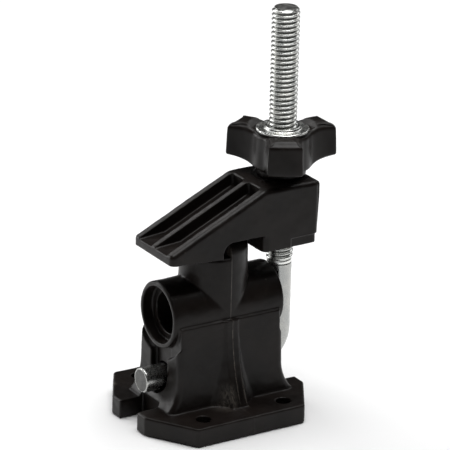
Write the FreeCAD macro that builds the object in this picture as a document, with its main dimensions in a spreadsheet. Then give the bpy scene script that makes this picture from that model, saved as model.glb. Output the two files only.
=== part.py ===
import FreeCAD, Part
import math
import os
import re
import Sketcher

# Clamp-on rod holder.  A bent bolt is hooked through the moulded base, and a
# three-lobed knob on its thread presses a ribbed clamp arm down on the base.
#
# Frame: the origin is the middle of the foot plate's underside, +Z is up the
# bolt, the socket tube lies along Y, and its front mouth faces -Y.
# All sizes are millimetres.

doc = FreeCAD.newDocument("RodHolder")
sheet = doc.addObject("Spreadsheet::Sheet", "Sizes")

SIZES = [
    # foot plate
    ("plate_length", 63.2, "along Y"),
    ("plate_width", 55.8, "along X"),
    ("plate_thickness", 6.5, ""),
    ("plate_corner_length", 10.5, "cut-off corner, measured along Y"),
    ("plate_corner_width", 17.1, "cut-off corner, measured along X"),
    ("plate_shift", 0.8, "plate's middle, ahead of the column's axis"),
    ("plate_corner_round", 1.6, "upright edges of the plate"),
    ("plate_edge_round", 0.7, "top edge of the plate"),
    ("screw_spacing_x", 42.4, ""),
    ("screw_spacing_y", 31.6, ""),
    ("screw_hole_diameter", 5.2, ""),
    ("notch_width", 11.0, "open notch in the front and back edge"),
    ("notch_depth", 9.0, "from the plate's edge to the notch's end wall"),
    # pillar between the plate and the tube
    ("pillar_length", 41.4, "along Y, above the flare"),
    ("pillar_width", 28.4, "along X, at the underside"),
    ("pillar_draft", 2.8, "degrees, side faces"),
    ("pillar_drop", 1.6, "pillar top below the tube's axis"),
    ("pillar_corner_round", 2.0, "upright corners"),
    ("pillar_foot_reach", 4.0, "how far the front and back flare out"),
    ("pillar_flare_height", 10.4, "height of the flare above the plate"),
    ("ring_diameter", 30.6, "step cut round the tube in each end face"),
    ("ring_depth", 1.2, ""),
    ("slot_width", 10.6, "upright slot that the bolt's bend lies in"),
    ("slot_depth", 2.4, ""),
    # buttress rib on each side
    ("rib_top_reach", 0.8, "ridge, out from the pillar at the top"),
    ("rib_middle_reach", 2.0, ""),
    ("rib_foot_reach", 6.0, ""),
    ("rib_ridge_top", 4.2, "ridge width at the top"),
    ("rib_ridge_foot", 5.6, "ridge width at the foot"),
    ("rib_flank_top", 4.6, "width that both flanks add at the top"),
    ("rib_flank_middle", 10.5, ""),
    ("rib_flank_foot", 16.5, "width that both flanks add at the foot"),
    # socket tube
    ("tube_axis_height", 37.6, ""),
    ("tube_diameter", 23.1, ""),
    ("tube_length", 43.2, ""),
    ("tube_rim_round", 0.8, ""),
    ("socket_diameter", 14.2, ""),
    ("mouth_diameter", 19.7, "counterbore at each end of the socket"),
    ("mouth_depth", 4.0, ""),
    # column and hump under the clamp arm
    ("column_diameter", 23.3, ""),
    ("column_top_height", 57.7, ""),
    ("column_edge_round", 1.0, ""),
    ("hump_height", 5.2, "above the column's front top"),
    ("hump_round", 4.6, ""),
    # bent bolt
    ("bolt_gap", 0.04, "from the tube's back end to the thread"),
    ("bolt_top_height", 138.3, ""),
    ("bolt_thread_diameter", 9.525, "3/8 inch"),
    ("bolt_shank_diameter", 8.7, ""),
    ("bolt_thread_start", 49.0, "height where the thread begins"),
    ("bolt_end_chamfer", 0.9, ""),
    ("bolt_bend_radius", 9.5, "centreline"),
    ("bolt_leg_height", 15.0, ""),
    ("bolt_leg_overhang", 7.0, "cut end, out from the pillar's front"),
    ("bolt_clearance", 0.45, "round the leg, in the base"),
    # clamp arm
    ("arm_width", 24.6, ""),
    ("arm_gap", 0.3, "arm above the column at rest"),
    ("arm_height", 21.6, "wedge's underside to the block's top"),
    ("arm_block_drop", 0.5, "block's bottom below the wedge's underside"),
    ("arm_front", 23.9, "tip, in front of the column's axis"),
    ("arm_behind_bolt", 7.6, "back of the block, from the bolt's axis"),
    ("arm_tip_height", 3.4, "height of the tip's front face"),
    ("arm_tip_rise", 1.2, "tip's underside above the block's underside"),
    ("arm_slope_end", 12.6, "where the slope meets the flat top"),
    ("arm_crest_round", 8.0, ""),
    ("arm_corner_round", 1.6, ""),
    ("arm_top_round", 1.6, "block's top edges"),
    ("arm_hole_clearance", 0.35, "round the thread, in the arm"),
    ("arm_step_height", 3.4, "rebate round the bottom of the block's back"),
    ("arm_step_depth", 0.4, ""),
    ("arm_step_length", 11.0, "along the block's sides"),
    ("arm_block_round", 1.9, "block's front corners, under the arch"),
    ("arch_front", 3.6, "arch over the hump, in front of the axis"),
    ("arch_rear_gap", 0.6, "hump to the block's front face"),
    ("arch_top_gap", 0.6, "hump to the arch's roof"),
    ("arch_round", 4.2, ""),
    ("groove_side_rib", 3.3, "width of each outer rib"),
    ("groove_middle_rib", 2.3, "width of the middle rib"),
    ("groove_depth", 4.4, ""),
    ("groove_tip_depth", 0.5, ""),
    ("groove_run", 10.0, "length over which the floor falls from the tip"),
    ("groove_corner_round", 1.4, "upper end, seen from above"),
    # knob
    ("knob_gap", 0.2, "knob above the arm at rest"),
    ("boss_diameter", 16.6, ""),
    ("boss_height", 5.0, ""),
    ("lobe_height", 11.6, ""),
    ("lobe_reach", 19.7, "lobe corners, from the axis"),
    ("lobe_width", 12.8, "across the end of a lobe"),
    ("lobe_turn", -29.4, "direction of the first lobe, degrees from +X"),
    ("scallop_root", 9.2, "hollow between lobes, from the axis"),
    ("lobe_corner_round", 2.2, ""),
    ("lobe_edge_round", 2.1, ""),
    ("hub_diameter", 20.4, ""),
    ("hub_drop", 1.1, "hub ring below the lobes' top"),
    # threaded insert
    ("insert_diameter", 12.6, "barrel moulded into the knob"),
    ("insert_flange_diameter", 18.2, ""),
    ("insert_flange_thickness", 0.9, ""),
    ("insert_collar_diameter", 12.4, ""),
    ("insert_collar_rise", 0.7, ""),
    ("insert_thread_clearance", 0.06, "round the thread"),
]

for row, (alias, value, note) in enumerate(SIZES, start=1):
    sheet.set("A%d" % row, alias)
    sheet.set("B%d" % row, str(value))
    sheet.set("C%d" % row, note)
    sheet.setAlias("B%d" % row, alias)
doc.recompute()

ALIAS_PATTERN = re.compile(r"\b(" + "|".join(alias for alias, _, _ in SIZES) + r")\b")

# Places that several pieces share, each worked out from the sheet's cells.
PLATE_FRONT = "(plate_length / 2 + plate_shift)"
PLATE_BACK = "(plate_length / 2 - plate_shift)"
PLATE_SIDE = "(plate_width / 2)"
PILLAR_END = "(pillar_length / 2)"
PILLAR_TOP = "(tube_axis_height - pillar_drop)"
FLARE_TOP = "(plate_thickness + pillar_flare_height)"
HUMP_TOP = "(column_top_height + hump_height)"
ARM_BOTTOM = "(column_top_height + arm_gap)"
BLOCK_BOTTOM = "(column_top_height + arm_gap - arm_block_drop)"
ARM_TOP = "(column_top_height + arm_gap + arm_height)"
ARM_TIP_TOP = "(column_top_height + arm_gap + arm_tip_rise + arm_tip_height)"
KNOB_BOTTOM = "(column_top_height + arm_gap + arm_height + knob_gap)"
BOLT_OFFSET = "(tube_length / 2 + bolt_thread_diameter / 2 + bolt_gap)"
ARM_REAR = "(%s + arm_behind_bolt)" % BOLT_OFFSET
SHANK_RADIUS = "(bolt_shank_diameter / 2)"
THREAD_RADIUS = "(bolt_thread_diameter / 2)"


def expand(text):
    """Write each alias as a reference to its cell."""
    return ALIAS_PATTERN.sub(r"Sizes.\1", text)


def number(text):
    """Value of an expression of aliases."""
    value = sheet.evalExpression(expand(text))
    return float(getattr(value, "Value", value))


def bind(item, prop, text):
    """Tie a property to an expression of aliases."""
    item.setExpression(prop, expand(text))


def near(value, target, slack=0.02):
    return abs(value - target) < slack


# ---------------------------------------------------------------- sketches

def new_body(label):
    body = doc.addObject("PartDesign::Body", label)
    body.Label = label
    return body


def origin_feature(body, role):
    return [item for item in body.Origin.OriginFeatures if item.Role == role][0]


def new_sketch(body, name, role, offset="0"):
    """Empty sketch on one of the body's own origin planes, moved along its normal."""
    sketch = body.newObject("Sketcher::SketchObject", name)
    sketch.AttachmentSupport = [(origin_feature(body, role), "")]
    sketch.MapMode = "FlatFace"
    if offset != "0":
        bind(sketch, "AttachmentOffset.Base.z", offset)
    return sketch


def pin_point(sketch, geometry, position, across, up):
    """Fix a point at two expressions measured from the sketch's origin."""
    for kind, axis, text in (("DistanceX", -2, across), ("DistanceY", -1, up)):
        if text == "0":
            sketch.addConstraint(Sketcher.Constraint("PointOnObject", geometry, position, axis))
            continue
        place = sketch.addConstraint(
            Sketcher.Constraint(kind, -1, 1, geometry, position, number(text)))
        bind(sketch, "Constraints[%d]" % place, text)


def add_circle(sketch, across, up, radius):
    centre = FreeCAD.Vector(number(across), number(up), 0)
    shape = Part.Circle(centre, FreeCAD.Vector(0, 0, 1), number(radius))
    geometry = sketch.addGeometry(shape)
    if across == "0" and up == "0":
        sketch.addConstraint(Sketcher.Constraint("Coincident", geometry, 3, -1, 1))
    else:
        pin_point(sketch, geometry, 3, across, up)
    place = sketch.addConstraint(Sketcher.Constraint("Radius", geometry, number(radius)))
    bind(sketch, "Constraints[%d]" % place, radius)


def arc_between(start, end, radius, side):
    """Arc from start to end; side is 1 where its centre lies to the left."""
    chord = end - start
    half = chord.Length / 2
    rise = math.sqrt(max(radius * radius - half * half, 0))
    left = FreeCAD.Vector(-chord.y, chord.x, 0).normalize()
    centre = start + chord * 0.5 + left * (side * rise)
    first, last = (start, end) if side > 0 else (end, start)
    turn = [math.atan2(point.y - centre.y, point.x - centre.x) for point in (first, last)]
    circle = Part.Circle(centre, FreeCAD.Vector(0, 0, 1), radius)
    return Part.ArcOfCircle(circle, turn[0], turn[1])


def is_half_circle(sketch, geometry, radius):
    arc = sketch.Geometry[geometry]
    return near((arc.StartPoint - arc.EndPoint).Length, 2 * radius)


def add_outline(sketch, corners):
    """Closed outline.  A corner is (across, up), or (across, up, radius, side)
    where the stretch to the next corner is an arc."""
    points = [FreeCAD.Vector(number(c[0]), number(c[1]), 0) for c in corners]
    count = len(corners)
    ends = []
    for index, corner in enumerate(corners):
        start, end = points[index], points[(index + 1) % count]
        if len(corner) == 2:
            geometry = sketch.addGeometry(Part.LineSegment(start, end))
            ends.append((geometry, 1, 2))
            continue
        radius, side = corner[2], corner[3]
        geometry = sketch.addGeometry(arc_between(start, end, number(radius), side))
        ends.append((geometry, 1, 2) if side > 0 else (geometry, 2, 1))
    for index in range(count):
        geometry, _, last = ends[index]
        following, first, _ = ends[(index + 1) % count]
        sketch.addConstraint(Sketcher.Constraint("Coincident", geometry, last, following, first))
    for index, corner in enumerate(corners):
        geometry, first, _ = ends[index]
        pin_point(sketch, geometry, first, corner[0], corner[1])
        if len(corner) == 4 and is_half_circle(sketch, geometry, number(corner[2])):
            sketch.addConstraint(Sketcher.Constraint("Horizontal", geometry, 3, geometry, first))
        elif len(corner) == 4:
            place = sketch.addConstraint(
                Sketcher.Constraint("Radius", geometry, number(corner[2])))
            bind(sketch, "Constraints[%d]" % place, corner[2])


# ---------------------------------------------------------------- features

def extrude(body, kind, name, sketch, length=None, symmetric=False, reverse=False):
    """Pad or Pocket; a Pocket with no length goes through everything."""
    feature = body.newObject("PartDesign::" + kind, name)
    feature.Profile = sketch
    if symmetric:
        feature.SideType = "Symmetric"
    if length is None:
        feature.Type = "ThroughAll"
    else:
        bind(feature, "Length", length)
    feature.Reversed = reverse
    sketch.Visibility = False
    doc.recompute()
    return feature


def mirror(body, name, features, role):
    feature = body.newObject("PartDesign::Mirrored", name)
    feature.Originals = features
    feature.MirrorPlane = (origin_feature(body, role), [""])
    body.Tip = feature
    doc.recompute()


def edges_of(body, test):
    """Names of the edges of the body's tip that pass the test."""
    names = []
    for index, edge in enumerate(body.Tip.Shape.Edges, start=1):
        low, high = edge.FirstParameter, edge.LastParameter
        middle = edge.valueAt((low + high) / 2)
        if test(edge, middle):
            names.append("Edge%d" % index)
    return names


def dress(body, kind, name, prop, size, test):
    """Fillet or Chamfer on the edges that pass the test."""
    names = edges_of(body, test)
    if not names:
        raise RuntimeError("%s: no edge found for %s" % (body.Label, name))
    feature = body.newObject("PartDesign::" + kind, name)
    feature.Base = (feature.BaseFeature, names)
    bind(feature, prop, size)
    doc.recompute()
    return feature


def is_circle(edge, radius):
    curve = edge.Curve
    return isinstance(curve, Part.Circle) and near(curve.Radius, radius)


def is_upright(edge):
    box = edge.BoundBox
    return box.ZLength > 1 and box.XLength < 0.01 and box.YLength < 0.01


# --------------------------------------------------------------- base body

def make_plate(body):
    """Octagonal foot with four screw holes and a notch in front and behind."""
    side = PLATE_SIDE
    cut_side = "(%s - plate_corner_width)" % side
    back = [(side, "(%s - plate_corner_length)" % PLATE_BACK), (cut_side, PLATE_BACK)]
    front = [(side, "(plate_corner_length - %s)" % PLATE_FRONT), (cut_side, "-" + PLATE_FRONT)]
    corners = list(back)
    corners += [("-" + x, y) for x, y in reversed(back)]
    corners += [("-" + x, y) for x, y in front]
    corners += list(reversed(front))
    sketch = new_sketch(body, "PlateOutline", "XY_Plane")
    add_outline(sketch, corners)
    extrude(body, "Pad", "Plate", sketch, "plate_thickness")
    dress(body, "Fillet", "PlateCorners", "Radius", "plate_corner_round",
          lambda edge, middle: is_upright(edge))
    top = number("plate_thickness")
    dress(body, "Fillet", "PlateTopEdge", "Radius", "plate_edge_round",
          lambda edge, middle: near(middle.z, top) and edge.BoundBox.ZLength < 0.01)


def make_pillar(body):
    """Drafted block that flares at its front and back foot."""
    end = PILLAR_END
    foot = "(%s + pillar_foot_reach)" % end
    reach, height = "pillar_foot_reach", "pillar_flare_height"
    flare = "((%s ^ 2 + %s ^ 2) / (2 * %s))" % (reach, height, reach)
    sketch = new_sketch(body, "PillarOutline", "YZ_Plane")
    add_outline(sketch, [
        ("-" + foot, "0"),
        (foot, "0"),
        (foot, "plate_thickness", flare, -1),
        (end, FLARE_TOP),
        (end, PILLAR_TOP),
        ("-" + end, PILLAR_TOP),
        ("-" + end, FLARE_TOP, flare, -1),
        ("-" + foot, "plate_thickness")])
    extrude(body, "Pad", "Pillar", sketch, "pillar_width", symmetric=True)

    middle_height = number(PILLAR_TOP) * 0.6
    half = number("pillar_width / 2")
    faces = []
    for index, face in enumerate(body.Tip.Shape.Faces, start=1):
        centre = face.CenterOfMass
        if near(abs(centre.x), half) and abs(face.normalAt(0, 0).x) > 0.99:
            faces.append("Face%d" % index)
    draft = body.newObject("PartDesign::Draft", "PillarDraft")
    draft.Base = (draft.BaseFeature, faces)
    draft.NeutralPlane = (origin_feature(body, "XY_Plane"), [""])
    bind(draft, "Angle", "pillar_draft")
    doc.recompute()
    narrow = [face.CenterOfMass.x for face in draft.Shape.Faces
              if face.BoundBox.ZMax > middle_height and abs(face.normalAt(0, 0).x) > 0.9]
    if not narrow or max(narrow) > half - 0.1:
        draft.Reversed = True
        doc.recompute()

    plate, end_place = number("plate_thickness"), number(PILLAR_END)

    def upright_corner(edge, middle):
        box = edge.BoundBox
        tall = box.ZLength > 3 and box.ZMin > plate - 0.1
        return tall and abs(middle.y) > end_place - 0.5 and abs(middle.x) > 8
    dress(body, "Fillet", "PillarCorners", "Radius", "pillar_corner_round", upright_corner)

    ring = new_sketch(body, "RingStepOutline", "XZ_Plane", "%s - ring_depth" % PILLAR_END)
    add_circle(ring, "0", "tube_axis_height", "ring_diameter / 2")
    step = extrude(body, "Pocket", "RingStep", ring, "ring_depth + 1", reverse=True)
    slot = new_sketch(body, "BoltSlotOutline", "XZ_Plane", "%s - slot_depth" % PILLAR_END)
    add_outline(slot, [
        ("-slot_width / 2", "tube_axis_height"),
        ("-slot_width / 2", "bolt_leg_height", "slot_width / 2", 1),
        ("slot_width / 2", "bolt_leg_height"),
        ("slot_width / 2", "tube_axis_height")])
    cut = extrude(body, "Pocket", "BoltSlot", slot, "slot_depth + 6", reverse=True)
    mirror(body, "BackStepAndSlot", [step, cut], "XZ_Plane")


def make_ribs(body):
    """Buttress in the middle of each side, three sections joined by a loft."""
    lean = "tan(pillar_draft)"
    levels = [
        (PILLAR_TOP, "rib_top_reach", "rib_ridge_top", "rib_flank_top"),
        ("(%s + 1)" % FLARE_TOP, "rib_middle_reach",
         "(rib_ridge_top + rib_ridge_foot) / 2", "rib_flank_middle"),
        ("(plate_thickness - 0.5)", "rib_foot_reach", "rib_ridge_foot", "rib_flank_foot")]
    sections = []
    for index, (height, reach, ridge, flank) in enumerate(levels, start=1):
        wall = "(pillar_width / 2 - %s * %s)" % (height, lean)
        root = "(%s - 0.4)" % wall
        out = "(%s + %s)" % (wall, reach)
        sketch = new_sketch(body, "RibSection%d" % index, "XY_Plane", height)
        half_ridge = "((%s) / 2)" % ridge
        half_root = "((%s + %s) / 2)" % (ridge, flank)
        scoop = "sqrt((%s - %s) ^ 2 + (%s / 2) ^ 2)" % (out, root, flank)
        add_outline(sketch, [
            (root, "-" + half_root, scoop, -1),
            (out, "-" + half_ridge),
            (out, half_ridge, scoop, -1),
            (root, half_root)])
        sketch.Visibility = False
        sections.append(sketch)
    loft = body.newObject("PartDesign::AdditiveLoft", "Rib")
    loft.Profile = sections[0]
    loft.Sections = sections[1:]
    loft.Ruled = False
    doc.recompute()
    mirror(body, "FarRib", [loft], "YZ_Plane")


def make_tube_and_column(body):
    sketch = new_sketch(body, "TubeOutline", "XZ_Plane")
    add_circle(sketch, "0", "tube_axis_height", "tube_diameter / 2")
    extrude(body, "Pad", "Tube", sketch, "tube_length", symmetric=True)

    sketch = new_sketch(body, "ColumnOutline", "XY_Plane", "(%s - 1)" % PILLAR_TOP)
    add_circle(sketch, "0", "0", "column_diameter / 2")
    extrude(body, "Pad", "Column", sketch, "column_top_height - %s + 1" % PILLAR_TOP)
    shelf = number("column_top_height")
    dress(body, "Fillet", "ColumnEdge", "Radius", "column_edge_round",
          lambda edge, middle: near(middle.z, shelf))

    radius = "column_diameter / 2"
    sketch = new_sketch(body, "HumpOutline", "XY_Plane", "tube_axis_height")
    add_outline(sketch, [("-" + radius, "0"), (radius, "0", radius, 1)])
    extrude(body, "Pad", "Hump", sketch, "%s - tube_axis_height" % HUMP_TOP)

    top = number(HUMP_TOP)
    dress(body, "Fillet", "HumpBackRound", "Radius", "hump_round",
          lambda edge, middle: near(middle.z, top) and middle.y > 1)


def make_base_openings(body):
    """Socket, bolt passage, screw holes and notches."""
    sketch = new_sketch(body, "SocketOutline", "XZ_Plane")
    add_circle(sketch, "0", "tube_axis_height", "socket_diameter / 2")
    extrude(body, "Pocket", "Socket", sketch, "tube_length + 2", symmetric=True)

    sketch = new_sketch(body, "MouthOutline", "XZ_Plane", "tube_length / 2 - mouth_depth")
    add_circle(sketch, "0", "tube_axis_height", "mouth_diameter / 2")
    mouth = extrude(body, "Pocket", "FrontMouth", sketch, "mouth_depth + 1", reverse=True)
    mirror(body, "BackMouth", [mouth], "XZ_Plane")

    rim = number("tube_length / 2")
    outer = number("tube_diameter / 2")
    dress(body, "Fillet", "TubeRims", "Radius", "tube_rim_round",
          lambda edge, middle: is_circle(edge, outer) and near(abs(middle.y), rim))

    sketch = new_sketch(body, "BoltPassageOutline", "XZ_Plane")
    add_circle(sketch, "0", "bolt_leg_height", "%s + bolt_clearance" % SHANK_RADIUS)
    extrude(body, "Pocket", "BoltPassage", sketch, "pillar_length + 12", symmetric=True)

    sketch = new_sketch(body, "ScrewHoleOutline", "XY_Plane")
    for across in ("screw_spacing_x / 2", "-screw_spacing_x / 2"):
        for along in ("screw_spacing_y / 2", "-screw_spacing_y / 2"):
            add_circle(sketch, across, along, "screw_hole_diameter / 2")
    extrude(body, "Pocket", "ScrewHoles", sketch, "plate_thickness + 1", reverse=True)

    sketch = new_sketch(body, "NotchOutline", "XY_Plane")
    half = "notch_width / 2"
    for outer, inner in (
            ("-(%s + 1)" % PLATE_FRONT, "-(%s - notch_depth)" % PLATE_FRONT),
            ("(%s + 1)" % PLATE_BACK, "(%s - notch_depth + 2 * plate_shift)" % PLATE_BACK)):
        add_outline(sketch, [("-" + half, outer), (half, outer), (half, inner), ("-" + half, inner)])
    extrude(body, "Pocket", "Notches", sketch, FLARE_TOP, reverse=True)


def make_base_body():
    body = new_body("base_body")
    make_plate(body)
    make_pillar(body)
    make_ribs(body)
    make_tube_and_column(body)
    make_base_openings(body)
    return body


# --------------------------------------------------------------- bent bolt

def make_bolt():
    """Plain leg and bend, then the thread's outside cylinder."""
    body = new_body("l_bolt")
    leg_end = "(%s + bolt_leg_overhang)" % PILLAR_END
    bend_start = "(%s - bolt_bend_radius)" % BOLT_OFFSET
    bend_top = "(bolt_leg_height + bolt_bend_radius)"

    path = new_sketch(body, "BoltPath", "YZ_Plane")
    points = [(number("-" + leg_end), number("bolt_leg_height")),
              (number(bend_start), number("bolt_leg_height")),
              (number(BOLT_OFFSET), number(bend_top)),
              (number(BOLT_OFFSET), number("bolt_thread_start"))]
    start, bend, rise, stop = [FreeCAD.Vector(y, z, 0) for y, z in points]
    radius = "bolt_bend_radius"
    leg = path.addGeometry(Part.LineSegment(start, bend))
    arc = path.addGeometry(arc_between(bend, rise, number(radius), 1))
    shank = path.addGeometry(Part.LineSegment(rise, stop))
    path.addConstraint(Sketcher.Constraint("Coincident", leg, 2, arc, 1))
    path.addConstraint(Sketcher.Constraint("Coincident", arc, 2, shank, 1))
    pin_point(path, leg, 1, "-" + leg_end, "bolt_leg_height")
    pin_point(path, leg, 2, bend_start, "bolt_leg_height")
    pin_point(path, shank, 1, BOLT_OFFSET, bend_top)
    pin_point(path, shank, 2, BOLT_OFFSET, "bolt_thread_start")
    place = path.addConstraint(Sketcher.Constraint("Radius", arc, number(radius)))
    bind(path, "Constraints[%d]" % place, radius)
    path.Visibility = False

    profile = new_sketch(body, "BoltSection", "XZ_Plane", leg_end)
    add_circle(profile, "0", "bolt_leg_height", SHANK_RADIUS)
    profile.Visibility = False
    pipe = body.newObject("PartDesign::AdditivePipe", "LegAndBend")
    pipe.Profile = profile
    pipe.Spine = (path, [])
    doc.recompute()

    thread = new_sketch(body, "ThreadOutline", "XY_Plane", "bolt_thread_start")
    add_circle(thread, "0", BOLT_OFFSET, THREAD_RADIUS)
    extrude(body, "Pad", "Thread", thread, "bolt_top_height - bolt_thread_start")
    top = number("bolt_top_height")
    dress(body, "Chamfer", "ThreadEnd", "Size", "bolt_end_chamfer",
          lambda edge, middle: near(middle.z, top))
    return body


# --------------------------------------------------------------- clamp arm

def make_arm():
    body = new_body("clamp_arm")
    roof = "(%s + arch_top_gap)" % HUMP_TOP
    arch_rear = "(column_diameter / 2 + arch_rear_gap)"
    tip_bottom = "(%s + arm_tip_rise)" % ARM_BOTTOM

    sketch = new_sketch(body, "ArmOutline", "YZ_Plane")
    add_outline(sketch, [
        ("-arm_front", tip_bottom),
        ("-arch_front", ARM_BOTTOM),
        ("-arch_front", "(%s - arch_round)" % roof, "arch_round", -1),
        ("(arch_round - arch_front)", roof),
        (arch_rear, roof),
        (arch_rear, BLOCK_BOTTOM),
        (ARM_REAR, BLOCK_BOTTOM),
        (ARM_REAR, ARM_TOP),
        ("arm_slope_end", ARM_TOP),
        ("-arm_front", ARM_TIP_TOP)])
    extrude(body, "Pad", "ArmBlock", sketch, "arm_width", symmetric=True)

    top, crest = number(ARM_TOP), number("arm_slope_end")
    dress(body, "Fillet", "Crest", "Radius", "arm_crest_round",
          lambda edge, middle: near(middle.z, top) and near(middle.y, crest))
    front, rear = number("arm_front"), number(ARM_REAR)

    def upright_end(edge, middle):
        return is_upright(edge) and (near(middle.y, -front) or near(middle.y, rear))
    dress(body, "Fillet", "EndCorners", "Radius", "arm_corner_round", upright_end)
    half, arch_end = number("arm_width / 2"), number(arch_rear)

    def block_corner(edge, middle):
        return is_upright(edge) and near(abs(middle.x), half) and near(middle.y, arch_end)
    dress(body, "Fillet", "BlockCorners", "Radius", "arm_block_round", block_corner)

    def top_edge(edge, middle):
        box = edge.BoundBox
        outer = near(abs(middle.x), half) or middle.y > rear - number("arm_corner_round")
        return outer and near(box.ZMax, top) and near(box.ZMin, top) and middle.y > crest
    dress(body, "Fillet", "TopEdges", "Radius", "arm_top_round", top_edge)

    outer = "(arm_width / 2 + 1)"
    inner = "(arm_width / 2 - arm_step_depth)"
    step_start = "(%s - arm_step_length)" % ARM_REAR
    step_end = "(%s - arm_step_depth)" % ARM_REAR
    sketch = new_sketch(body, "StepOutline", "XY_Plane", BLOCK_BOTTOM)
    add_outline(sketch, [
        ("-" + outer, step_start),
        ("-" + inner, step_start),
        ("-" + inner, "(%s - arm_corner_round)" % step_end, "arm_corner_round", -1),
        ("(arm_corner_round - %s)" % inner, step_end),
        ("(%s - arm_corner_round)" % inner, step_end, "arm_corner_round", -1),
        (inner, "(%s - arm_corner_round)" % step_end),
        (inner, step_start),
        (outer, step_start),
        (outer, "(%s + 1)" % ARM_REAR),
        ("-" + outer, "(%s + 1)" % ARM_REAR)])
    extrude(body, "Pocket", "Step", sketch, "arm_step_height", reverse=True)

    run_end = "(groove_run - arm_front)"
    slope = "((%s - %s) / (arm_slope_end + arm_front))" % (ARM_TOP, ARM_TIP_TOP)
    sketch = new_sketch(body, "GrooveOutline", "YZ_Plane", "groove_middle_rib / 2")
    add_outline(sketch, [
        ("(-arm_front - 1)", "(%s - groove_tip_depth)" % ARM_TIP_TOP),
        ("-arm_front", "(%s - groove_tip_depth)" % ARM_TIP_TOP),
        (run_end, "(%s + groove_run * %s - groove_depth)" % (ARM_TIP_TOP, slope)),
        ("arm_slope_end", "(%s - groove_depth)" % ARM_TOP),
        ("arm_slope_end", "(%s + 5)" % ARM_TOP),
        ("(-arm_front - 1)", "(%s + 5)" % ARM_TOP)])
    width = "(arm_width / 2 - groove_side_rib - groove_middle_rib / 2)"
    groove = extrude(body, "Pocket", "NearGroove", sketch, width, reverse=True)
    mirror(body, "FarGroove", [groove], "YZ_Plane")
    floor = number("%s - groove_depth" % ARM_TOP)

    def groove_end(edge, middle):
        return is_upright(edge) and near(middle.y, crest) and middle.z > floor
    dress(body, "Fillet", "GrooveCorners", "Radius", "groove_corner_round", groove_end)

    sketch = new_sketch(body, "ArmHoleOutline", "XY_Plane", ARM_TOP)
    add_circle(sketch, "0", BOLT_OFFSET, "%s + arm_hole_clearance" % THREAD_RADIUS)
    extrude(body, "Pocket", "ArmHole", sketch)
    return body


# --------------------------------------------------------- knob and insert

def polar(distance, turn):
    return ("(%s) * cos(%s)" % (distance, turn), "(%s) * sin(%s)" % (distance, turn))


def place_on_bolt(body):
    bind(body, "Placement.Base.y", BOLT_OFFSET)
    bind(body, "Placement.Base.z", KNOB_BOTTOM)


def make_knob():
    """Three lobes on a boss; the knob's own frame has the bolt's axis as Z."""
    body = new_body("knob_grip")
    half_turn = "asin(lobe_width / 2 / lobe_reach)"
    chord = "(lobe_reach * sin(60 deg - %s))" % half_turn
    sagitta = "(lobe_reach * cos(60 deg - %s) - scallop_root)" % half_turn
    scallop = "((%s ^ 2 + %s ^ 2) / (2 * %s))" % (chord, sagitta, sagitta)
    corners = []
    for lobe in range(3):
        turn = "(lobe_turn + %d) * 1 deg" % (120 * lobe)
        corners.append(polar("lobe_reach", "%s - %s" % (turn, half_turn)) + ("lobe_reach * 1.6", 1))
        corners.append(polar("lobe_reach", "%s + %s" % (turn, half_turn)) + (scallop, -1))
    sketch = new_sketch(body, "LobeOutline", "XY_Plane", "boss_height")
    add_outline(sketch, corners)
    extrude(body, "Pad", "Lobes", sketch, "lobe_height")
    dress(body, "Fillet", "LobeCorners", "Radius", "lobe_corner_round",
          lambda edge, middle: is_upright(edge))
    bottom, top = number("boss_height"), number("boss_height + lobe_height")
    dress(body, "Fillet", "LobeEdges", "Radius", "lobe_edge_round",
          lambda edge, middle: near(middle.z, top))
    dress(body, "Fillet", "LobeUndersideEdges", "Radius", "lobe_edge_round / 2",
          lambda edge, middle: near(middle.z, bottom))

    sketch = new_sketch(body, "BossOutline", "XY_Plane")
    add_circle(sketch, "0", "0", "boss_diameter / 2")
    extrude(body, "Pad", "Boss", sketch, "boss_height + 1")
    sketch = new_sketch(body, "HubOutline", "XY_Plane", "boss_height + 1")
    add_circle(sketch, "0", "0", "hub_diameter / 2")
    extrude(body, "Pad", "Hub", sketch, "lobe_height - 1 - hub_drop")
    sketch = new_sketch(body, "InsertBoreOutline", "XY_Plane")
    add_circle(sketch, "0", "0", "insert_diameter / 2")
    extrude(body, "Pocket", "InsertBore", sketch, "boss_height + lobe_height + 5", reverse=True)
    place_on_bolt(body)
    doc.recompute()
    return body


def make_insert():
    """Flanged threaded bush, turned about the bolt's axis."""
    body = new_body("knob_insert")
    seat = "(boss_height + lobe_height - hub_drop)"
    flange_top = "(%s + insert_flange_thickness)" % seat
    collar_top = "(%s + insert_collar_rise)" % flange_top
    bore = "(%s + insert_thread_clearance)" % THREAD_RADIUS
    sketch = new_sketch(body, "InsertOutline", "XZ_Plane")
    add_outline(sketch, [
        (bore, "0"),
        ("insert_diameter / 2", "0"),
        ("insert_diameter / 2", seat),
        ("insert_flange_diameter / 2", seat),
        ("insert_flange_diameter / 2", flange_top),
        ("insert_collar_diameter / 2", flange_top),
        ("(%s + 0.5)" % bore, collar_top),
        (bore, collar_top)])
    turned = body.newObject("PartDesign::Revolution", "Bush")
    turned.Profile = sketch
    turned.ReferenceAxis = (sketch, ["V_Axis"])
    turned.Angle = 360
    sketch.Visibility = False
    doc.recompute()
    place_on_bolt(body)
    doc.recompute()
    return body


# ------------------------------------------------------------------ output

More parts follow.
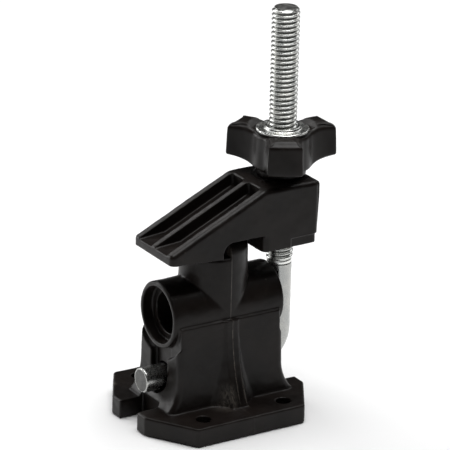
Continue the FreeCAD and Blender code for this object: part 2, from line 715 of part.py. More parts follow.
def write_parts(bodies):
    doc.recompute()
    for item in doc.Objects:
        if "Invalid" in item.State or "Error" in item.State:
            raise RuntimeError("%s (%s) failed: %s" % (item.Name, item.Label, item.State))
    for body in bodies:
        shape = body.Shape
        if shape.isNull() or not shape.isValid() or len(shape.Solids) != 1:
            raise RuntimeError("%s is not one valid solid" % body.Label)
    os.makedirs("parts", exist_ok=True)
    for body in bodies:
        body.Shape.exportStep(os.path.join("parts", body.Label + ".step"))
        box = body.Shape.BoundBox
        print("%-12s x %7.2f %7.2f  y %7.2f %7.2f  z %7.2f %7.2f  volume %9.1f" % (
            body.Label, box.XMin, box.XMax, box.YMin, box.YMax, box.ZMin, box.ZMax,
            body.Shape.Volume))


write_parts([make_base_body(), make_bolt(), make_arm(), make_knob(), make_insert()])
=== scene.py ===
import math

import bmesh
import bpy
import numpy as np
from mathutils import Matrix, Vector


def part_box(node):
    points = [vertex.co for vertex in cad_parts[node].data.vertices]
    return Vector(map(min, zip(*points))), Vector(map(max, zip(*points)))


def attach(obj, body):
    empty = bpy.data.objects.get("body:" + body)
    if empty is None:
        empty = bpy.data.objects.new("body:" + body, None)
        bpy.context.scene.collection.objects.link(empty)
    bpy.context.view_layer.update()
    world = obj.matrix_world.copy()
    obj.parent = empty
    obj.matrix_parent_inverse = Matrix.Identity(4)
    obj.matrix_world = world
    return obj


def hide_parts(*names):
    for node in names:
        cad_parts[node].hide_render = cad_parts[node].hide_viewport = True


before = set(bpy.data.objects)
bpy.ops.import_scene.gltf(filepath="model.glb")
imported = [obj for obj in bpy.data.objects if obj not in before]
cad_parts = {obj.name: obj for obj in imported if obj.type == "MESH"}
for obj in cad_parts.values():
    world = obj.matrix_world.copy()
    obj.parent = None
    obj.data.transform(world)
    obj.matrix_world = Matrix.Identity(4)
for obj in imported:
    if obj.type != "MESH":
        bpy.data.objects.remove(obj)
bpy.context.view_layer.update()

MM = 0.001

# Sizes in mm that the moulded details follow, partly read from the CAD nodes' boxes and partly given.


def box_mm(node):
    low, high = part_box(node)
    return np.array(low) / MM, np.array(high) / MM


BOLT_LOW, BOLT_HIGH = box_mm("l_bolt")
ARM_LOW, ARM_HIGH = box_mm("clamp_arm")
INSERT_LOW, INSERT_HIGH = box_mm("knob_insert")
KNOB_LOW, KNOB_HIGH = box_mm("knob_grip")

BOLT_Y = (INSERT_LOW[1] + INSERT_HIGH[1]) / 2
THREAD_RADIUS = (BOLT_HIGH[0] - BOLT_LOW[0]) / 2
PITCH = 1.5875
THREAD_DEPTH = 0.86
THREAD_CHAMFER = 0.95
RUN_OUT = 1.2
SHANK_RADIUS = 4.35
THREAD_START = 49.0
BEND_RADIUS = 9.5
END_ROUND = 0.7
LEG_Z = BOLT_LOW[2] + SHANK_RADIUS
PLATE_TOP = 6.5


# ------------------------------------------------------------------ helpers

def waves(points, size, seed, count=14):
    """Smooth random field over the points, about -1 to 1, with humps of that size in mm."""
    rng = np.random.default_rng(seed)
    total = np.zeros(len(points))
    for _ in range(count):
        direction = rng.normal(size=3)
        direction /= np.linalg.norm(direction)
        step = 2 * math.pi / (size * rng.uniform(0.7, 1.5))
        total += np.sin(points @ direction * step + rng.uniform(0, 2 * math.pi))
    return total / math.sqrt(count / 2)


def bump(value, centre, width):
    """1 at centre, fading to nothing over about twice the width."""
    return np.exp(-((value - centre) / width) ** 2)


def ramp(value, start, end):
    """0 before start, 1 after end, eased between them."""
    t = np.clip((value - start) / (end - start), 0, 1)
    return t * t * (3 - 2 * t)


def new_piece(name, points, faces, body):
    """Mesh piece from points in mm in the part's frame."""
    mesh = bpy.data.meshes.new(name)
    mesh.from_pydata((np.asarray(points) * MM).tolist(), [], faces)
    mesh.validate()
    work = bmesh.new()
    work.from_mesh(mesh)
    bmesh.ops.remove_doubles(work, verts=work.verts, dist=2e-6)
    bmesh.ops.recalc_face_normals(work, faces=work.faces)
    work.to_mesh(mesh)
    work.free()
    mesh.shade_smooth()
    piece = bpy.data.objects.new(name, mesh)
    bpy.context.collection.objects.link(piece)
    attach(piece, body)
    return piece


def bake_modifiers(piece):
    """Applies every modifier to the piece's mesh."""
    bpy.context.view_layer.update()
    graph = bpy.context.evaluated_depsgraph_get()
    mesh = bpy.data.meshes.new_from_object(piece.evaluated_get(graph))
    piece.modifiers.clear()
    piece.data = mesh
    mesh.shade_smooth()


def softened(node, name, body, voxel, passes):
    """A CAD solid as a fine even mesh whose hard edges are eased, as a moulding's are."""
    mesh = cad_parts[node].data.copy()
    work = bmesh.new()
    work.from_mesh(mesh)
    bmesh.ops.remove_doubles(work, verts=work.verts, dist=1e-6)
    work.to_mesh(mesh)
    work.free()
    mesh.materials.clear()
    piece = bpy.data.objects.new(name, mesh)
    bpy.context.collection.objects.link(piece)
    grid = piece.modifiers.new("Grid", "REMESH")
    grid.mode = "VOXEL"
    grid.voxel_size = voxel * MM
    ease = piece.modifiers.new("Ease", "SMOOTH")
    ease.factor = 0.5
    ease.iterations = passes
    bake_modifiers(piece)
    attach(piece, body)
    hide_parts(node)
    return piece


def sculpt(piece, offset):
    """Moves each vertex along its normal by offset(points, normals), in mm."""
    mesh = piece.data
    count = len(mesh.vertices)
    points = np.empty(count * 3)
    normals = np.empty(count * 3, np.float32)
    mesh.vertices.foreach_get("co", points)
    mesh.vertex_normals.foreach_get("vector", normals)
    points = points.reshape(-1, 3) / MM
    normals = normals.reshape(-1, 3).astype(float)
    points += normals * offset(points, normals)[:, None]
    mesh.vertices.foreach_set("co", (points * MM).ravel())
    mesh.update()


def rings_to_faces(rings, around, first=0):
    """Quads between neighbouring closed rings of points, numbered from first."""
    faces = []
    for i in range(rings - 1):
        for j in range(around):
            a = first + i * around + j
            b = first + i * around + (j + 1) % around
            faces.append((a, b, b + around, a + around))
    return faces


def lathe(profile, centre, around):
    """Points and faces of a closed profile [(radius, z)] turned about an upright axis."""
    turn = np.linspace(0, 2 * math.pi, around, endpoint=False)
    points = []
    for radius, z in profile:
        points += [(centre[0] + radius * math.cos(t), centre[1] + radius * math.sin(t), z)
                   for t in turn]
    faces = rings_to_faces(len(profile), around)
    last = (len(profile) - 1) * around
    faces += [(last + j, last + (j + 1) % around, (j + 1) % around, j) for j in range(around)]
    return points, faces


# ---------------------------------------------------------------- materials

class Nodes:
    """Small builder for one material's node tree."""

    def __init__(self, name):
        self.material = bpy.data.materials.new(name)
        self.material.use_nodes = True
        self.tree = self.material.node_tree
        self.shader = self.tree.nodes["Principled BSDF"]
        self.place = self.add("ShaderNodeTexCoord").outputs["Object"]

    def add(self, kind, **values):
        node = self.tree.nodes.new(kind)
        for key, value in values.items():
            setattr(node, key, value)
        return node

    def link(self, source, target):
        self.tree.links.new(source, target)

    def put(self, socket, value):
        if isinstance(value, bpy.types.NodeSocket):
            self.link(value, socket)
        else:
            socket.default_value = value

    def noise(self, scale, detail, rough, place=None, distortion=0.0):
        node = self.add("ShaderNodeTexNoise")
        node.inputs["Scale"].default_value = scale
        node.inputs["Detail"].default_value = detail
        node.inputs["Roughness"].default_value = rough
        node.inputs["Distortion"].default_value = distortion
        self.link(place or self.place, node.inputs["Vector"])
        return node.outputs["Fac"]

    def stretch(self, scale):
        node = self.add("ShaderNodeMapping")
        node.inputs["Scale"].default_value = scale
        self.link(self.place, node.inputs["Vector"])
        return node.outputs["Vector"]

    def math(self, operation, a, b=None, clamp=False):
        node = self.add("ShaderNodeMath", operation=operation, use_clamp=clamp)
        for socket, value in zip(node.inputs, (a, b)):
            if value is not None:
                self.put(socket, value)
        return node.outputs[0]

    def between(self, value, low, high, to_low=0.0, to_high=1.0):
        node = self.add("ShaderNodeMapRange", interpolation_type="SMOOTHSTEP")
        for name, number in (("From Min", low), ("From Max", high),
                             ("To Min", to_low), ("To Max", to_high)):
            node.inputs[name].default_value = number
        self.put(node.inputs["Value"], value)
        return node.outputs["Result"]

    def mix(self, amount, a, b):
        node = self.add("ShaderNodeMix", data_type="RGBA")
        self.put(node.inputs["Factor"], amount)
        self.put(node.inputs["A"], a)
        self.put(node.inputs["B"], b)
        return node.outputs["Result"]

    def axes(self):
        node = self.add("ShaderNodeSeparateXYZ")
        self.link(self.place, node.inputs[0])
        return node.outputs

    def near(self, value, centre, width):
        """1 where value is at centre, falling to 0 at width away."""
        away = self.math("ABSOLUTE", self.math("SUBTRACT", value, centre))
        return self.between(away, 0.0, width, 1.0, 0.0)

    def edges(self, low, high):
        """1 on outward edges, 0 on flats."""
        return self.between(self.add("ShaderNodeNewGeometry").outputs["Pointiness"], low, high)

    def relief(self, *layers):
        """Bump layers (height, distance in mm, strength), the broadest first."""
        normal = None
        for height, distance, strength in layers:
            node = self.add("ShaderNodeBump")
            node.inputs["Distance"].default_value = distance * MM
            node.inputs["Strength"].default_value = strength
            self.put(node.inputs["Height"], height)
            if normal is not None:
                self.link(normal, node.inputs["Normal"])
            normal = node.outputs["Normal"]
        self.link(normal, self.shader.inputs["Normal"])

    def set(self, **values):
        names = {"colour": "Base Color", "metal": "Metallic", "rough": "Roughness",
                 "specular": "Specular IOR Level"}
        for key, value in values.items():
            self.put(self.shader.inputs[names[key]], value)


def moulded_nylon(name, dark, light, scuff_and_highlight_patches):
    """Black filled nylon: satin skin with fine grain, flow streaks, handling scuffs.

    scuff_and_highlight_patches is a list of ((x, y, z), (reach x, y, z), strength) in mm where paler
    patches lie: some are scuff marks, some are painted highlights where flanks and edges catch the light.
    """
    m = Nodes(name)
    broad = m.noise(70, 3, 0.5)
    mottle = m.noise(420, 5, 0.6)
    grain = m.noise(3200, 3, 0.6)
    flow = m.noise(160, 4, 0.6, m.stretch((1.0, 1.0, 0.22)), 0.8)
    colour = m.mix(m.between(broad, 0.35, 0.68), dark, light)
    dust = m.math("MULTIPLY", m.between(mottle, 0.52, 0.74), m.between(flow, 0.45, 0.7))
    brown = (light[0] * 1.9, light[1] * 1.75, light[2] * 1.6, 1)
    colour = m.mix(m.math("MULTIPLY", dust, 0.55), colour, brown)
    # edge wear and painted highlight: outward edges are paled, standing both for wear and for the sheen
    # their rounding catches
    edge_wear_and_highlight = m.math("MULTIPLY", m.edges(0.54, 0.62), m.between(mottle, 0.40, 0.62))
    pale = (0.085, 0.078, 0.070, 1)
    colour = m.mix(m.math("MULTIPLY", edge_wear_and_highlight, 0.35), colour, pale)
    # pale patches, partly scuff marks and partly painted highlights
    scuff_and_highlight = None
    for centre, reach, strength in scuff_and_highlight_patches:
        x, y, z = m.axes()
        here = m.math("MULTIPLY", m.near(x, centre[0] * MM, reach[0] * MM),
                      m.near(y, centre[1] * MM, reach[1] * MM))
        here = m.math("MULTIPLY", here, m.near(z, centre[2] * MM, reach[2] * MM))
        here = m.math("MULTIPLY", here, strength)
        scuff_and_highlight = here if scuff_and_highlight is None else m.math("MAXIMUM", scuff_and_highlight, here)
    streak = m.noise(900, 5, 0.7, m.stretch((1.0, 1.0, 0.35)), 1.2)
    if scuff_and_highlight is not None:
        scuff_and_highlight = m.math("MULTIPLY", scuff_and_highlight, m.between(streak, 0.34, 0.64))
        colour = m.mix(scuff_and_highlight, colour, (0.16, 0.142, 0.122, 1))
    rough = m.between(mottle, 0.3, 0.75, 0.30, 0.42)
    rough = m.math("ADD", rough, m.math("MULTIPLY", edge_wear_and_highlight, 0.10))
    if scuff_and_highlight is not None:
        rough = m.math("ADD", rough, m.math("MULTIPLY", scuff_and_highlight, 0.25), clamp=True)
    m.set(colour=colour, rough=rough, specular=0.20)
    m.relief((broad, 0.30, 0.35), (flow, 0.06, 0.5), (grain, 0.02, 0.55))
    return m.material


ZINC_DARK = (0.54, 0.55, 0.54)
ZINC_LIGHT = (0.67, 0.67, 0.64)


def zinc_plate(name, fine, dull, bright=1.0, shade_roots=False):
    """Bright zinc plate: crystalline mottling, faint blue and straw tints, fine drag marks."""
    m = Nodes(name)
    patch = m.noise(260, 4, 0.6)
    speck = m.noise(1900, 4, 0.65)
    drag = m.noise(fine, 3, 0.6, m.stretch((1.0, 1.0, 0.12)), 0.3)
    # bright scales the plate's tone as painted light, for lit and shaded versions of the same zinc
    low, high = ([v * bright for v in tone] + [1] for tone in (ZINC_DARK, ZINC_LIGHT))
    colour = m.mix(m.between(patch, 0.35, 0.7), low, high)
    colour = m.mix(m.math("MULTIPLY", m.between(speck, 0.58, 0.8), 0.18),
                   colour, (0.24, 0.24, 0.235, 1))
    colour = m.mix(m.math("MULTIPLY", m.between(patch, 0.6, 0.82), dull),
                   colour, (0.40, 0.37, 0.30, 1))
    # painted shade: the thread's roots are darkened where its flanks shade them
    if shade_roots:
        x, y, _ = m.axes()
        across = m.math("SUBTRACT", y, BOLT_Y * MM)
        square = m.math("ADD", m.math("MULTIPLY", x, x), m.math("MULTIPLY", across, across))
        reach = m.math("SQRT", square)
        low, high = (THREAD_RADIUS - THREAD_DEPTH) * MM, (THREAD_RADIUS - 0.25) * MM
        root_shade = m.between(reach, low, high, 1.0, 0.0)
        threaded = m.between(m.axes()[2], (THREAD_START - 0.5) * MM, (THREAD_START + 2.0) * MM)
        colour = m.mix(m.math("MULTIPLY", m.math("MULTIPLY", root_shade, threaded), 0.85),
                       colour, (0.085, 0.088, 0.080, 1))
    rough = m.between(m.math("ADD", speck, m.math("MULTIPLY", patch, 0.6)), 0.6, 1.1, 0.24, 0.34)
    m.set(colour=colour, metal=1.0, rough=rough)
    m.relief((patch, 0.04, 0.35), (drag, 0.008, 0.35), (speck, 0.002, 0.3))
    return m.material


def sawn_end(name):
    """The bolt's cut end: dull grey with arc-shaped saw marks and a few bright nicks."""
    m = Nodes(name)
    marks = m.add("ShaderNodeTexWave", wave_type="BANDS", bands_direction="DIAGONAL")
    marks.inputs["Scale"].default_value = 900
    marks.inputs["Distortion"].default_value = 5.0
    marks.inputs["Detail"].default_value = 3.0
    m.link(m.place, marks.inputs["Vector"])
    blotch = m.noise(520, 5, 0.65)
    colour = m.mix(m.between(blotch, 0.35, 0.7), (0.05, 0.05, 0.049, 1), (0.15, 0.15, 0.146, 1))
    colour = m.mix(m.math("MULTIPLY", marks.outputs["Fac"], 0.35), colour, (0.32, 0.32, 0.31, 1))
    m.set(colour=colour, metal=1.0, rough=m.between(blotch, 0.3, 0.7, 0.40, 0.62))
    m.relief((blotch, 0.12, 0.7), (marks.outputs["Fac"], 0.03, 0.6))
    return m.material


NYLON_DARK = (0.0052, 0.0038, 0.0032, 1)
NYLON_LIGHT = (0.0105, 0.0078, 0.0066, 1)

BASE_NYLON = moulded_nylon(
    "base_black_nylon", NYLON_DARK, NYLON_LIGHT,
    # a scuff mark along the rib's ridge
    [((17.6, 2.7, 12.0), (5.0, 0.9, 9.0), 0.75),
     # painted highlight on the rib's scooped left flank
     ((17.8, -4.2, 10.0), (4.5, 4.4, 7.0), 0.85),
     # a pale band along the foot of that flank
     ((16.2, -5.6, 7.0), (4.0, 5.5, 1.2), 0.45),
     # a pale patch on the far block's front top edge
     ((-20.0, -27.0, 6.6), (3.2, 1.5, 0.8), 0.5),
     # a thin pale line along the parting line on both sides: flash, and a painted highlight on its step
     ((13.0, 0.05, 32.0), (20.0, 0.30, 60.0), 0.75),
     ((-13.0, 0.05, 32.0), (20.0, 0.30, 60.0), 0.75)])
ARM_NYLON = moulded_nylon(
    "arm_black_nylon", NYLON_DARK, NYLON_LIGHT,
    # a faint pale patch under the arm beside the arch
    [((9.0, 12.0, 57.6), (3.0, 4.0, 1.2), 0.2)])
KNOB_NYLON = moulded_nylon("knob_black_nylon", NYLON_DARK, (0.0120, 0.0094, 0.0082, 1), [])
# painted light: the thread's zinc is made lighter and the shank's darker, a lit and a shaded version of
# the same plate
THREAD_ZINC = zinc_plate("thread_zinc", 1500, 0.25, shade_roots=True, bright=1.3)
SHANK_ZINC = zinc_plate("shank_zinc", 1500, 0.10, bright=0.70)
FLANGE_ZINC = zinc_plate("flange_zinc", 900, 0.5)
CUT_STEEL = sawn_end("cut_end_steel")


def paint(piece, *materials):
    piece.data.materials.clear()
    for material in materials:
        piece.data.materials.append(material)


# ---------------------------------------------------------------- base body

base = softened("base_body", "base_moulding", "base", 0.32, 2)


def base_details(points, normals):
    """Waviness, parting line, mould step, rib flash and sinks."""
    x, y, z = points.T
    offset = 0.035 * waves(points, 11, 11) + 0.012 * waves(points, 3.2, 12)
    # parting line where the mould's halves met
    outside = np.abs(normals[:, 0]) > 0.35
    line = bump(y + 0.12 * waves(points * (0, 0, 1), 7, 13), 0, 0.24)
    offset += np.where(outside, 0.07 * line, 0)
    # the front half stands a little proud of the back half above the pillar
    proud = outside & (z > 34) & (y < 0.05)
    offset += np.where(proud, 0.17 * ramp(y, -6.5, -3.5), 0)
    # torn flash along the foot of the ribs and the ridge
    foot = ramp(-z, -16, -7) * (z > PLATE_TOP - 0.3)
    ridge = bump(np.abs(y), 2.6, 0.5) * (np.abs(x) > 14)
    offset += 0.10 * foot * ridge * (0.4 + 0.6 * np.clip(waves(points, 1.6, 14), 0, 1))
    # shallow sinks in the thick walls of the pillar
    wall = (np.abs(normals[:, 0]) > 0.9) & (z > PLATE_TOP + 2) & (z < 34)
    offset -= np.where(wall, 0.16 * bump(np.abs(y), 12.5, 5) * bump(z, 21, 9), 0)
    return offset


sculpt(base, base_details)
paint(base, BASE_NYLON)


# ---------------------------------------------------------------- clamp arm

arm = softened("clamp_arm", "arm_moulding", "arm", 0.30, 2)


def arm_details(points, normals):
    """Waviness, ejector mark, ring round the hole and sinks."""
    x, y, z = points.T
    offset = 0.03 * waves(points, 9, 21) + 0.010 * waves(points, 2.8, 22)
    # ejector mark and a faint machining ring on top of the block
    top = (normals[:, 2] > 0.9) & (z > ARM_HIGH[2] - 1.6)
    round_pin = np.hypot(x - 5.6, y - 17.6)
    offset -= np.where(top, 0.16 * ramp(-round_pin, -2.3, -1.9), 0)
    offset += np.where(top, 0.10 * bump(round_pin, 2.5, 0.25), 0)
    ring = np.hypot(x, y - BOLT_Y)
    offset += np.where(top, 0.10 * bump(ring, 10.3, 0.35) - 0.30 * bump(ring, 9.4, 0.5), 0)
    # the back face leans out towards its top
    back = (normals[:, 1] > 0.8) & (y > ARM_HIGH[1] - 1.5)
    offset += np.where(back, 0.5 * ramp(z, ARM_LOW[2] + 2, ARM_HIGH[2]), 0)
    # block sides sink a little between their edges
    side = np.abs(normals[:, 0]) > 0.9
    offset -= np.where(side, 0.14 * bump(y, 20, 8) * bump(z, 69, 7), 0)
    return offset


sculpt(arm, arm_details)
paint(arm, ARM_NYLON)


# --------------------------------------------------------------------- knob

LOBE_TURN = math.radians(-29.4)
LOBE_HALF = 6.4
LOBE_REACH = 19.6
SCALLOP_ROOT = 9.2
HUB_RADIUS = 10.2
BOSS_RADIUS = 8.3
INSERT_BORE = 6.32
FLANGE_STACK = 1.6
KNOB_Z = KNOB_LOW[2]
KNOB_TOP = KNOB_HIGH[2] - KNOB_Z


def lobe_outline(turns):
    """Radius of the lobed grip at each angle measured from a lobe's middle."""
    corner = math.asin(LOBE_HALF / LOBE_REACH)
    end = math.sqrt(LOBE_REACH ** 2 - LOBE_HALF ** 2)
    gap = math.radians(60) - corner
    middle = (LOBE_REACH ** 2 - SCALLOP_ROOT ** 2) / (2 * (LOBE_REACH * math.cos(gap) - SCALLOP_ROOT))
    scoop = middle - SCALLOP_ROOT
    third = math.radians(120)
    away = np.abs((turns + third / 2) % third - third / 2)
    radius = end / np.cos(away)
    off = math.radians(60) - away
    inner = middle * np.cos(off) - np.sqrt(
        np.maximum(scoop ** 2 - (middle * np.sin(off)) ** 2, 0))
    radius = np.where(away > corner, inner, radius)
    return np.maximum(radius, HUB_RADIUS - 0.15)


def rounded(outline, amount):
    """Rounds a closed outline's corners by averaging along its length."""
    count = len(outline)
    reach = np.arange(-30, 31)
    smooth = outline.copy()
    lengths = np.linalg.norm(np.roll(outline, -1, 0) - outline, axis=1)
    step = lengths.mean()
    weights = np.exp(-((reach * step / amount) ** 2))
    weights /= weights.sum()
    for index in range(count):
        smooth[index] = weights @ outline[(index + reach) % count]
    return smooth


def even_outline(count):
    turns = np.linspace(0, 2 * math.pi, 1440, endpoint=False)
    radius = lobe_outline(turns)
    fine = np.stack([radius * np.cos(turns + LOBE_TURN), radius * np.sin(turns + LOBE_TURN)], 1)
    gaps = np.linalg.norm(np.roll(fine, -1, 0) - fine, axis=1)
    along = np.concatenate([[0], np.cumsum(gaps)])
    wrapped = np.vstack([fine, fine[:1]])
    marks = np.linspace(0, along[-1], count, endpoint=False)
    even = np.stack([np.interp(marks, along, wrapped[:, k]) for k in (0, 1)], 1)
    return rounded(even, 1.3)


def make_knob():
    count = 300
    outline = even_outline(count)
    ahead = np.roll(outline, -1, 0) - np.roll(outline, 1, 0)
    outward = np.stack([ahead[:, 1], -ahead[:, 0]], 1)
    outward /= np.linalg.norm(outward, axis=1)[:, None]
    reach = np.linalg.norm(outline, axis=1)
    facing = outline / reach[:, None]

    def under(radius):
        return 4.6 + 0.60 * (radius - BOSS_RADIUS) / 11 - 2.5 * np.exp(-(radius - BOSS_RADIUS) / 3.4)

    seat = INSERT_HIGH[2] - KNOB_Z - FLANGE_STACK

    def over(radius, inset):
        depth = 1 - np.minimum(inset, 4.2) / 4.2
        dome = KNOB_TOP - 2.45 + 2.75 * np.sqrt(1 - depth ** 2)
        dome -= 0.2 * ramp(radius, 14.5, 19.5)
        return seat - 0.15 + (dome - seat + 0.15) * ramp(radius, HUB_RADIUS - 0.6, HUB_RADIUS + 2.4)

    rings = []
    for radius, z in ((INSERT_BORE, 0.0), (BOSS_RADIUS - 0.7, 0.0), (BOSS_RADIUS - 0.25, 0.12),
                      (BOSS_RADIUS - 0.05, 0.42), (BOSS_RADIUS, 0.9), (BOSS_RADIUS, 1.8)):
        rings.append(np.column_stack([facing * radius, np.full(count, z)]))
    lower = outline - outward * 0.95
    lower_reach = np.linalg.norm(lower, axis=1)
    for share in np.linspace(0.0, 1.0, 12):
        radius = BOSS_RADIUS + (lower_reach - BOSS_RADIUS) * share ** 1.15
        spot = facing * radius[:, None] * (1 - share ** 2) + lower * share ** 2
        spot = np.where(share >= 1.0, lower, spot)
        rings.append(np.column_stack([spot, under(np.linalg.norm(spot, axis=1))]))
    edge = under(lower_reach)
    for turn in (22, 45, 68, 90):
        t = math.radians(turn)
        spot = outline - outward * 0.95 * (1 - math.sin(t))
        rings.append(np.column_stack([spot, edge + 0.9 * (1 - math.cos(t))]))
    edge_round = 1.5
    flat = np.zeros(count)
    brim = over(reach, flat + edge_round) - 0.35
    for share in (0.25, 0.5, 0.75, 1.0):
        spot = outline - outward * 0.38 * share
        low = edge + 0.9
        rings.append(np.column_stack([spot, low + (brim - edge_round - low) * share]))
    for turn in (20, 40, 60, 78):
        t = math.radians(turn)
        spot = outline - outward * (0.38 + edge_round * (1 - math.cos(t)))
        rings.append(np.column_stack([spot, brim - edge_round * (1 - math.sin(t))]))
    inner = HUB_RADIUS - 0.9
    rim = outline - outward * (0.38 + edge_round)
    start = np.linalg.norm(rim, axis=1)
    for share in np.linspace(0.06, 1.0, 14):
        radius = start + (inner - start) * share
        spot = rim * (radius / start)[:, None]
        gap = np.sqrt(((spot[:, None, :] - outline[None, ::3, :]) ** 2).sum(2)).min(1)
        rings.append(np.column_stack([spot, over(radius, gap)]))
    for radius, z in ((inner - 0.15, seat + 0.25), (inner - 0.35, seat - 0.03),
                      (INSERT_BORE, seat - 0.03)):
        rings.append(np.column_stack([facing * radius, np.full(count, z)]))
    points = np.vstack(rings)
    points[:, 1] += BOLT_Y
    points[:, 2] += KNOB_Z
    faces = rings_to_faces(len(rings), count)
    last = (len(rings) - 1) * count
    faces += [(last + j, last + (j + 1) % count, (j + 1) % count, j) for j in range(count)]
    piece = new_piece("knob_moulding", points, faces, "knob")
    finer = piece.modifiers.new("Finer", "SUBSURF")
    finer.levels = 1
    finer.render_levels = 1
    bake_modifiers(piece)
    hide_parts("knob_grip")
    return piece


knob = make_knob()


def knob_details(points, normals):
    offset = 0.03 * waves(points, 8, 31) + 0.008 * waves(points, 2.6, 32)
    around = np.hypot(points[:, 0], points[:, 1] - BOLT_Y)
    return offset * ramp(around, 7.5, 10.5)


sculpt(knob, knob_details)
paint(knob, KNOB_NYLON)


# ------------------------------------------------------------- knob's insert

def make_insert():
    z0, z1 = INSERT_LOW[2], INSERT_HIGH[2]
    flange = (INSERT_HIGH[0] - INSERT_LOW[0]) / 2
    seat = z1 - FLANGE_STACK
    bore = THREAD_RADIUS + 0.06
    profile = [
        (bore + 0.35, z0 + 0.02), (6.15, z0 + 0.02), (6.25, z0 + 0.2), (6.25, seat - 0.25),
        (flange - 0.45, seat + 0.02), (flange - 0.12, seat + 0.12), (flange, seat + 0.32),
        (flange - 0.04, seat + 0.62), (flange - 0.25, seat + 0.82), (flange - 0.7, seat + 0.88),
        (flange - 1.3, seat + 0.80), (7.1, seat + 0.74), (6.55, seat + 0.80), (6.25, seat + 0.98),
        (6.12, seat + 1.25), (6.0, z1 - 0.14), (5.75, z1 - 0.02), (5.35, z1 - 0.03),
        (bore + 0.15, z1 - 0.22), (bore, z1 - 0.55), (bore, z0 + 0.4)]
    dense = []
    for (r0, h0), (r1, h1) in zip(profile, profile[1:] + profile[:1]):
        for share in (0.0, 1 / 3, 2 / 3):
            dense.append((r0 + (r1 - r0) * share, h0 + (h1 - h0) * share))
    points, faces = lathe(dense, (0.0, BOLT_Y), 144)
    piece = new_piece("knob_bush", points, faces, "knob")
    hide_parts("knob_insert")
    return piece


insert = make_insert()


def insert_details(points, normals):
    around = np.hypot(points[:, 0], points[:, 1] - BOLT_Y)
    rim = ramp(around, 6.2, 7.0) * (normals[:, 2] > -0.2)
    beaten = 0.05 * waves(points, 2.4, 41) + 0.02 * waves(points, 0.9, 42)
    return rim * beaten - 0.02 * ramp(around, 5.6, 5.9)


sculpt(insert, insert_details)
paint(insert, FLANGE_ZINC)


# --------------------------------------------------------------------- bolt

def make_thread():
    """Right-hand helical thread with a run-out below and a chamfered top."""
    around, per_turn = 72, 10
    crest, root = THREAD_RADIUS - 0.03, THREAD_RADIUS - THREAD_DEPTH
    shape = [root + 0.02, root, root + 0.04, root + 0.30, root + 0.62, crest - 0.03,
             crest, crest - 0.02, root + 0.58, root + 0.26]
    low, high = THREAD_START - RUN_OUT, BOLT_HIGH[2]
    turns = int((high - low) / PITCH) + 3
    points = []
    for i in range(turns * per_turn):
        for j in range(around):
            z = low + PITCH * (i / per_turn + j / around - 1)
            radius = shape[i % per_turn]
            run = float(ramp(np.array(z), THREAD_START - 0.6, THREAD_START + 2.6))
            start = SHANK_RADIUS - 0.03
            radius = start + (radius - start) * run
            above = max(0.0, z - (high - THREAD_CHAMFER))
            radius = min(radius, crest - above * THREAD_CHAMFER)
            if z > high:
                radius = crest - THREAD_CHAMFER * THREAD_CHAMFER
            z = min(max(z, low), high)
            turn = 2 * math.pi * j / around
            points.append((radius * math.cos(turn), BOLT_Y + radius * math.sin(turn), z))
    rows = turns * per_turn
    faces = []
    for i in range(rows - 1):
        for j in range(around):
            a = i * around + j
            if j < around - 1:
                faces.append((a, a + 1, a + 1 + around, a + around))
            elif i + 1 + per_turn < rows:
                b = (i + per_turn) * around
                faces.append((a, b, b + around, a + around))
    return points, faces


def finish_bolt():
    points, faces = make_thread()
    piece = new_piece("bolt_thread", points, faces, "base")
    work = bmesh.new()
    work.from_mesh(piece.data)
    top = BOLT_HIGH[2] * MM
    bmesh.ops.dissolve_degenerate(work, edges=work.edges, dist=1e-6)
    extra = [f for f in work.faces
             if all(v.co.z > top - 1e-7 for v in f.verts)
             or all(v.co.z < (THREAD_START - RUN_OUT) * MM + 1e-7 for v in f.verts)]
    bmesh.ops.delete(work, geom=extra, context="FACES")
    bmesh.ops.remove_doubles(work, verts=work.verts, dist=3e-6)
    rim = [e for e in work.edges if e.is_boundary and e.verts[0].co.z > top - 1e-5]
    bmesh.ops.holes_fill(work, edges=rim, sides=0)
    work.to_mesh(piece.data)
    work.free()
    piece.data.shade_smooth()
    paint(piece, THREAD_ZINC, CUT_STEEL)
    for face in piece.data.polygons:
        if face.normal.z > 0.98 and face.center.z > top - 2e-4:
            face.material_index = 1
            face.use_smooth = False
    return piece


thread = finish_bolt()


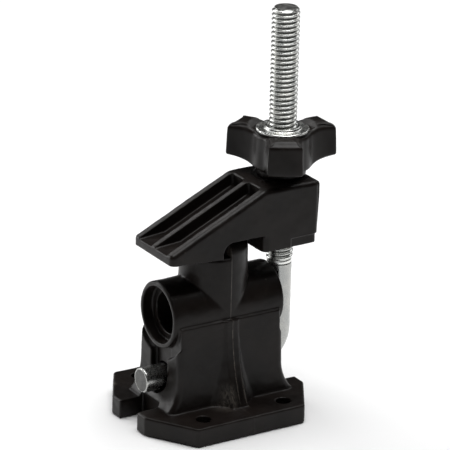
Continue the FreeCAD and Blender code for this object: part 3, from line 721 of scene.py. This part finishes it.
def make_shank():
    """Plain shank, bend and leg swept as one bar, with the leg's end cut by hand."""
    path = []
    high = THREAD_START - 0.7
    centre_y, centre_z = BOLT_Y - BEND_RADIUS, LEG_Z + BEND_RADIUS
    for z in np.linspace(high, LEG_Z + BEND_RADIUS, 40):
        path.append(((0, BOLT_Y, z), (0, 0, -1)))
    for turn in np.linspace(0, 90, 25)[1:]:
        t = math.radians(turn)
        place = (0, centre_y + BEND_RADIUS * math.cos(t), centre_z - BEND_RADIUS * math.sin(t))
        path.append((place, (0, -math.sin(t), -math.cos(t))))
    end = BOLT_LOW[1]
    for y in np.linspace(BOLT_Y - BEND_RADIUS, end + END_ROUND, 60)[1:]:
        path.append(((0, y, LEG_Z), (0, -1, 0)))
    around = 72
    points = []
    for place, ahead in path:
        ahead = Vector(ahead)
        side = Vector((1, 0, 0))
        upward = side.cross(ahead)
        for j in range(around):
            t = 2 * math.pi * j / around
            spot = Vector(place) + SHANK_RADIUS * (side * math.cos(t) + upward * math.sin(t))
            points.append(tuple(spot))
    rows = len(path)
    for inset, reach in ((0.06, 0.42), (0.18, 0.62), (0.34, 0.70), (0.60, 0.70)):
        radius = SHANK_RADIUS - inset
        for j in range(around):
            t = 2 * math.pi * j / around
            points.append((radius * math.cos(t), end + END_ROUND - reach,
                           LEG_Z - radius * math.sin(t)))
        rows += 1
    faces = rings_to_faces(rows, around)
    first = len(points)
    for share in (0.75, 0.5, 0.25, 0.08):
        radius = (SHANK_RADIUS - 0.60) * share
        for j in range(around):
            t = 2 * math.pi * j / around
            points.append((radius * math.cos(t), end, LEG_Z - radius * math.sin(t)))
    faces += rings_to_faces(5, around, first=first - around)
    last = len(points) - around
    faces.append(tuple(range(last, last + around)))
    faces.append(tuple(reversed(range(around))))
    return points, faces


points, faces = make_shank()
shank = new_piece("bolt_shank", points, faces, "base")


def shank_details(points, normals):
    face = normals[:, 1] < -0.9
    rough = 0.05 * waves(points, 1.5, 52) + 0.03 * waves(points, 0.7, 53)
    return np.where(face, np.minimum(rough, 0.0), 0.012 * waves(points, 5, 51) - 0.02)


sculpt(shank, shank_details)
paint(shank, SHANK_ZINC, CUT_STEEL)
for face in shank.data.polygons:
    reach = math.hypot(face.center.x, face.center.z - LEG_Z * MM)
    if face.normal.y < -0.8 and reach < (SHANK_RADIUS - 0.5) * MM:
        face.material_index = 1
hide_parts("l_bolt")
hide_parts("l_bolt")


# ------------------------------------------------------ floor, light, camera

def make_floor():
    side = 6.0
    mesh = bpy.data.meshes.new("floor")
    mesh.from_pydata([(-side, -side, 0), (side, -side, 0), (side, side, 0), (-side, side, 0)],
                     [], [(0, 1, 2, 3)])
    floor = bpy.data.objects.new("floor", mesh)
    floor.location = (0, 0, -0.0003)
    bpy.context.collection.objects.link(floor)
    m = Nodes("floor_paper")
    tone = m.noise(6, 2, 0.5)
    paper = m.mix(tone, (0.93, 0.93, 0.93, 1), (0.95, 0.95, 0.95, 1))
    m.set(colour=paper, rough=0.9, specular=0.05)
    floor.data.materials.append(m.material)


def softbox(name, place, size, power):
    """Rectangular lamp of that size in m and power in W, turned to the object's middle."""
    data = bpy.data.lights.new(name, "AREA")
    data.shape = "RECTANGLE"
    data.size, data.size_y = size
    data.energy = power
    lamp = bpy.data.objects.new(name, data)
    lamp.location = place
    lamp.rotation_euler = (Vector((0, 0, AIM_HEIGHT)) - Vector(place)).to_track_quat("-Z", "Y").to_euler()
    bpy.context.collection.objects.link(lamp)


def make_world():
    bpy.context.scene.view_settings.view_transform = "Standard"
    world = bpy.data.worlds.new("studio")
    bpy.context.scene.world = world
    world.use_nodes = True
    world.node_tree.nodes["Background"].inputs["Color"].default_value = (1, 1, 1, 1)
    world.node_tree.nodes["Background"].inputs["Strength"].default_value = 0.03


# camera: angles in degrees, lens and sensor in mm, distances in m
AZIMUTH, ELEVATION, ROLL = 57.6, 20.79, -1.31
LENS, SENSOR = 272, 36
AIM_HEIGHT = 0.070
DISTANCE, ASIDE, ABOVE = 1.136, 0.003695, -0.003849


def make_camera():
    azimuth, elevation, roll = (math.radians(v) for v in (AZIMUTH, ELEVATION, ROLL))
    back = Vector((math.sin(azimuth) * math.cos(elevation),
                   -math.cos(azimuth) * math.cos(elevation), math.sin(elevation)))
    right = Vector((math.cos(azimuth), math.sin(azimuth), 0))
    up = back.cross(right)
    place = Vector((0, 0, AIM_HEIGHT)) + back * DISTANCE + right * ASIDE + up * ABOVE
    c, s = math.cos(roll), math.sin(roll)
    across, upward = right * c - up * s, right * s + up * c
    data = bpy.data.cameras.new("camera")
    data.lens = LENS
    data.sensor_width = SENSOR
    camera = bpy.data.objects.new("camera", data)
    turn = Matrix((across, upward, back)).transposed().to_4x4()
    camera.matrix_world = Matrix.Translation(place) @ turn
    bpy.context.collection.objects.link(camera)
    bpy.context.scene.camera = camera


make_floor()
make_world()
softbox("top", (0.0, 0.1, 1.1), (0.9, 0.9), 13.5)
softbox("left_high", (-0.85, -0.10, 0.75), (0.50, 0.50), 2.4)
softbox("low_left", (-0.75, -0.55, 0.26), (0.45, 0.40), 3.0)
softbox("back", (-0.30, 0.90, 0.70), (0.60, 0.50), 1.5)
make_camera()

bpy.context.view_layer.update()
